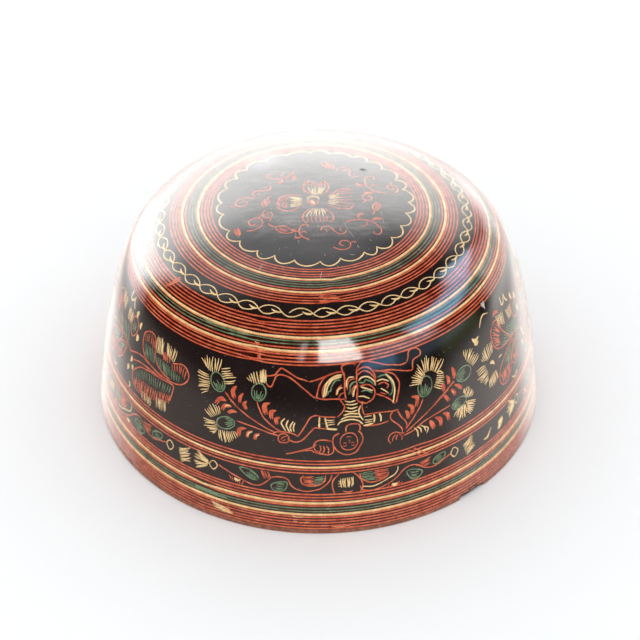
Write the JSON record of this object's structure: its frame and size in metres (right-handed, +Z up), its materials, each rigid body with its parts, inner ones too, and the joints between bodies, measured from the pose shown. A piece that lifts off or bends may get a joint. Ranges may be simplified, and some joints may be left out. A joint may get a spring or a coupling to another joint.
{
  "type": "lacquer bowl",
  "caption": "Round incised lacquer bowl, modelled mouth down: coiled bamboo core between ground coats, under black and red lacquer.",
  "frame": {"origin": "centre of the mouth, on the plane that the rim rests on, with the bowl turned mouth down as pictured", "axes": "+Z up along the bowl's turning axis, from the mouth towards the base; +X to the right in the front view; the front of the decoration faces -Y"},
  "size_m": [0.15, 0.15, 0.0769],
  "materials": {
    "black_lacquer": "polished black lacquer with incised lines filled red, yellow and green",
    "red_lacquer": "plain satin red-brown lacquer",
    "ash_ground": "matt ash and lacquer putty",
    "bamboo": "bare split bamboo"
  },
  "bodies": {
    "root": {"outer_lacquer_coat": "black_lacquer", "outer_ground_coat": "ash_ground", "inner_ground_coat": "ash_ground", "inner_lacquer_coat": "red_lacquer", "base_centre_disc": "bamboo", "base_coil_1": "bamboo", "base_coil_2": "bamboo", "base_coil_3": "bamboo", "base_coil_4": "bamboo", "base_coil_5": "bamboo", "wall_hoop_01": "bamboo", "wall_hoop_02": "bamboo", "wall_hoop_03": "bamboo", "wall_hoop_04": "bamboo", "wall_hoop_05": "bamboo", "wall_hoop_06": "bamboo", "wall_hoop_07": "bamboo", "wall_hoop_08": "bamboo", "wall_hoop_09": "bamboo", "wall_hoop_10": "bamboo", "wall_hoop_11": "bamboo", "wall_hoop_12": "bamboo", "wall_hoop_13": "bamboo", "wall_hoop_14": "bamboo", "wall_hoop_15": "bamboo", "rim_hoop": "bamboo"}
  },
  "joints": []
}
